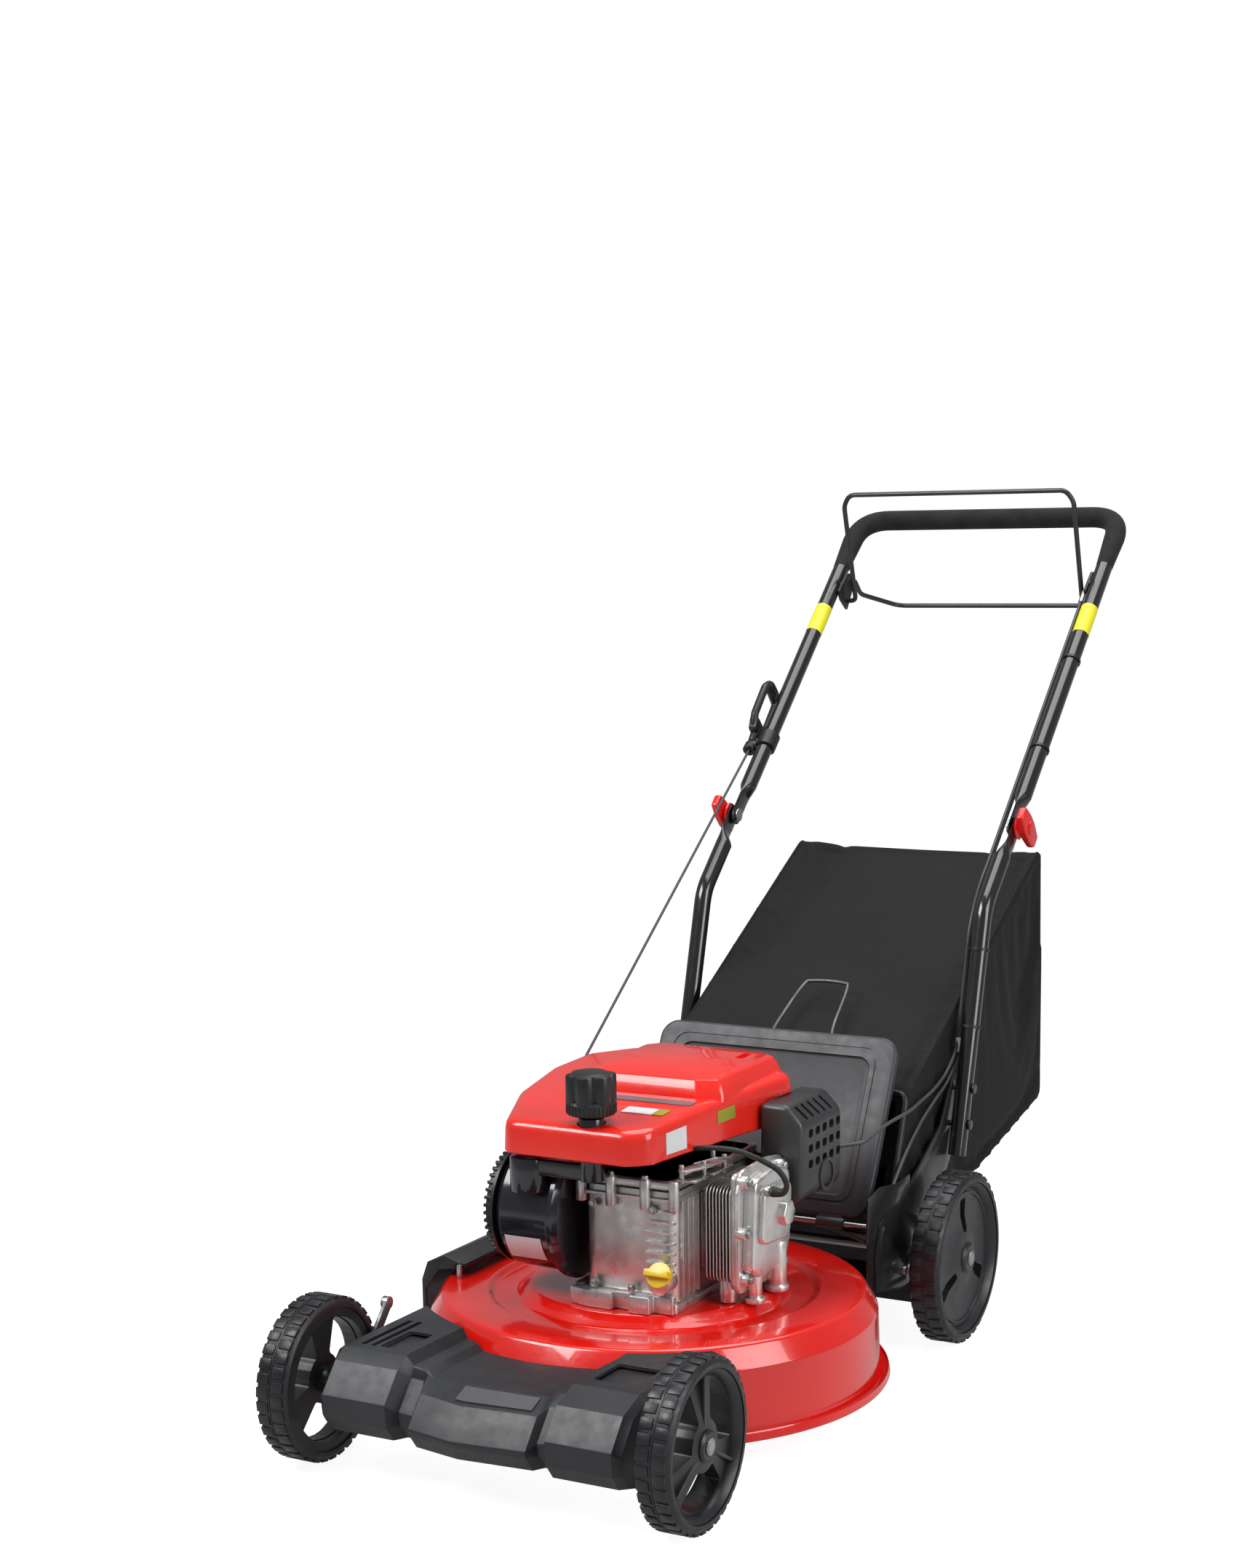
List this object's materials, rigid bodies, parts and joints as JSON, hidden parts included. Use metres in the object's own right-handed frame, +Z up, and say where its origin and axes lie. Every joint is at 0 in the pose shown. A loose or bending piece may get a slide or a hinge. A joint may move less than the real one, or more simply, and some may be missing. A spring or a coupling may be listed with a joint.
{
  "type": "push lawn mower",
  "caption": "Walk-behind petrol lawn mower with a round steel deck, vertical-shaft engine, rear grass bag, folding handle and control bails.",
  "frame": {"origin": "on the ground, at the middle of the box of the whole mower", "axes": "+Z up, +Y towards the operator, -Y towards the front wheels, +X to the right as seen from the front"},
  "size_m": [0.6, 1.6708, 1.1579],
  "materials": {
    "red_deck": "gloss powder coat, red",
    "red_plastic": "gloss moulded plastic, red",
    "grey_plastic": "satin moulded plastic, dark grey",
    "black_plastic": "satin moulded plastic, black",
    "tank_plastic": "gloss moulded plastic, black",
    "black_tube": "gloss powder coat, black",
    "black_steel": "satin powder coat, black",
    "cast_alloy": "die-cast, as cast",
    "bright_alloy": "die-cast, tumbled bright",
    "steel": "zinc-plated",
    "iron": "machined iron",
    "muffler_steel": "heat-resistant paint",
    "wheel_plastic": "satin moulded plastic, black",
    "tyre": "moulded tread",
    "foam": "closed-cell foam",
    "rubber": "smooth rubber",
    "cable_jacket": "extruded jacket, dark grey",
    "rope": "braided nylon",
    "bag_fabric": "woven polyester, black",
    "knob_red": "moulded plastic, red",
    "yellow_plastic": "moulded plastic, yellow"
  },
  "bodies": {
    "chassis": {"deck": "red_deck", "nose_cover": "grey_plastic", "rear_housing": "black_plastic", "handle_brackets": "black_steel", "front_brackets": "black_steel", "lower_handle_left": "black_tube", "lower_handle_right": "black_tube", "crankcase": "cast_alloy", "engine_cylinder": "cast_alloy", "valve_cover": "bright_alloy", "fuel_tank": "tank_plastic", "air_filter": "black_plastic", "carburettor": "cast_alloy", "engine_shroud": "red_plastic", "muffler": "muffler_steel", "muffler_guard": "black_steel", "piston": "cast_alloy", "connecting_rod": "cast_alloy", "drive_belt": "rubber", "gearbox": "black_plastic", "hinge_rods": "steel", "starter_rope": "rope", "brake_cable": "cable_jacket", "drive_cable": "cable_jacket", "fold_bolts": "steel"},
    "crank": {"crankshaft": "steel", "flywheel": "iron", "crank_pulley": "steel", "blade": "black_steel", "blade_bolt": "steel"},
    "gearbox_pulley": {"gearbox_pulley": "steel"},
    "drive_shaft": {"drive_shaft": "steel", "drive_pinions": "steel"},
    "front_axle": {"front_axle": "steel"},
    "rear_axle": {"rear_axle": "steel"},
    "front_wheel_left": {"front_wheel_left": "wheel_plastic", "front_tyre_left": "tyre"},
    "front_wheel_right": {"front_wheel_right": "wheel_plastic", "front_tyre_right": "tyre"},
    "rear_wheel_left": {"rear_wheel_left": "wheel_plastic", "rear_tyre_left": "tyre"},
    "rear_wheel_right": {"rear_wheel_right": "wheel_plastic", "rear_tyre_right": "tyre"},
    "upper_handle": {"upper_handle": "black_tube", "foam_grip": "foam", "bail_brackets": "black_plastic", "rope_guide": "black_plastic"},
    "blade_bail": {"blade_bail": "black_steel"},
    "drive_bail": {"drive_bail": "black_steel"},
    "knob_left": {"knob_left": "knob_red"},
    "knob_right": {"knob_right": "knob_red"},
    "starter_grip": {"starter_grip": "black_plastic"},
    "recoil_pulley": {"recoil_pulley": "black_plastic"},
    "fuel_cap": {"fuel_cap": "black_plastic"},
    "dipstick": {"dipstick": "yellow_plastic"},
    "side_flap": {"side_flap": "black_plastic"},
    "rear_door": {"rear_door": "grey_plastic"},
    "trailing_shield": {"trailing_shield": "rubber"},
    "grass_bag": {"grass_bag": "bag_fabric"},
    "bag_loop": {"bag_loop": "black_steel"}
  },
  "joints": [
    {"name": "front_height", "type": "hinge", "parent": "chassis", "child": "front_axle", "pos_m": [0, -0.68594, 0.112], "axis": [1, 0, 0], "range_deg": [-22, 26]},
    {"name": "rear_height", "type": "hinge", "parent": "chassis", "child": "rear_axle", "pos_m": [0, -0.01394, 0.105], "axis": [1, 0, 0], "range_deg": [-22, 22]},
    {"name": "front_left_roll", "type": "hinge", "parent": "front_axle", "child": "front_wheel_left", "pos_m": [0.255, -0.73394, 0.1015], "axis": [1, 0, 0], "continuous": true},
    {"name": "front_right_roll", "type": "hinge", "parent": "front_axle", "child": "front_wheel_right", "pos_m": [-0.255, -0.73394, 0.1015], "axis": [1, 0, 0], "continuous": true},
    {"name": "rear_left_roll", "type": "hinge", "parent": "rear_axle", "child": "rear_wheel_left", "pos_m": [0.259, 0.04006, 0.118], "axis": [1, 0, 0], "continuous": true},
    {"name": "rear_right_roll", "type": "hinge", "parent": "rear_axle", "child": "rear_wheel_right", "pos_m": [-0.259, 0.04006, 0.118], "axis": [1, 0, 0], "continuous": true},
    {"name": "blade_spin", "type": "hinge", "parent": "chassis", "child": "crank", "pos_m": [0, -0.34894, 0.2], "axis": [0, 0, 1], "continuous": true},
    {"name": "drive_pulley_spin", "type": "hinge", "parent": "chassis", "child": "gearbox_pulley", "pos_m": [-0.172, -0.01394, 0.135], "axis": [0, 0, 1], "continuous": true},
    {"name": "drive_shaft_spin", "type": "hinge", "parent": "chassis", "child": "drive_shaft", "pos_m": [0, -0.01394, 0.105], "axis": [1, 0, 0], "continuous": true},
    {"name": "handle_fold", "type": "hinge", "parent": "chassis", "child": "upper_handle", "pos_m": [0, 0.34206, 0.675], "axis": [1, 0, 0], "range_deg": [0, 140], "deforming": ["starter_rope", "brake_cable", "drive_cable"]},
    {"name": "blade_bail_close", "type": "hinge", "parent": "upper_handle", "child": "blade_bail", "pos_m": [0, 0.71942, 0.98587], "axis": [1, 0, 0], "range_deg": [-44, 0]},
    {"name": "drive_bail_close", "type": "hinge", "parent": "upper_handle", "child": "drive_bail", "pos_m": [0, 0.73537, 1.01716], "axis": [1, 0, 0], "range_deg": [0, 62]},
    {"name": "knob_left_turn", "type": "hinge", "parent": "chassis", "child": "knob_left", "pos_m": [0.24, 0.34206, 0.675], "axis": [1, 0, 0], "continuous": true},
    {"name": "knob_right_turn", "type": "hinge", "parent": "chassis", "child": "knob_right", "pos_m": [-0.24, 0.34206, 0.675], "axis": [1, 0, 0], "continuous": true},
    {"name": "starter_pull", "type": "slide", "parent": "upper_handle", "child": "starter_grip", "axis": [0, 0.6947, 0.7193], "range_m": [0, 0.34]},
    {"name": "recoil_turn", "type": "hinge", "parent": "chassis", "child": "recoil_pulley", "pos_m": [0, -0.34894, 0.392], "axis": [0, 0, 1], "range_deg": [0, 520]},
    {"name": "fuel_cap_turn", "type": "hinge", "parent": "chassis", "child": "fuel_cap", "pos_m": [0, -0.50294, 0.42], "axis": [0, 0, 1], "range_deg": [0, 90]},
    {"name": "dipstick_turn", "type": "hinge", "parent": "chassis", "child": "dipstick", "pos_m": [0.084, -0.47194, 0.198], "axis": [0, -0.866, 0.5], "range_deg": [0, 360]},
    {"name": "side_flap_lift", "type": "hinge", "parent": "chassis", "child": "side_flap", "pos_m": [-0.236, -0.35494, 0.164], "axis": [0, 1, 0], "range_deg": [0, 80]},
    {"name": "rear_door_lift", "type": "hinge", "parent": "chassis", "child": "rear_door", "pos_m": [0, -0.08594, 0.181], "axis": [1, 0, 0], "range_deg": [0, 24]},
    {"name": "shield_swing", "type": "hinge", "parent": "chassis", "child": "trailing_shield", "pos_m": [0, 0.08106, 0.152], "axis": [1, 0, 0], "range_deg": [-15, 55]},
    {"name": "bag_lift", "type": "slide", "parent": "chassis", "child": "grass_bag", "axis": [0, 0.4509, 0.8926], "range_m": [0, 0.08]},
    {"name": "bag_loop_lift", "type": "hinge", "parent": "grass_bag", "child": "bag_loop", "pos_m": [0, 0.10406, 0.392], "axis": [1, 0, 0], "range_deg": [0, 60]}
  ],
  "couplings": [
    {"joint": "recoil_turn", "follows": "starter_pull", "rad_per_m": 26}
  ]
}
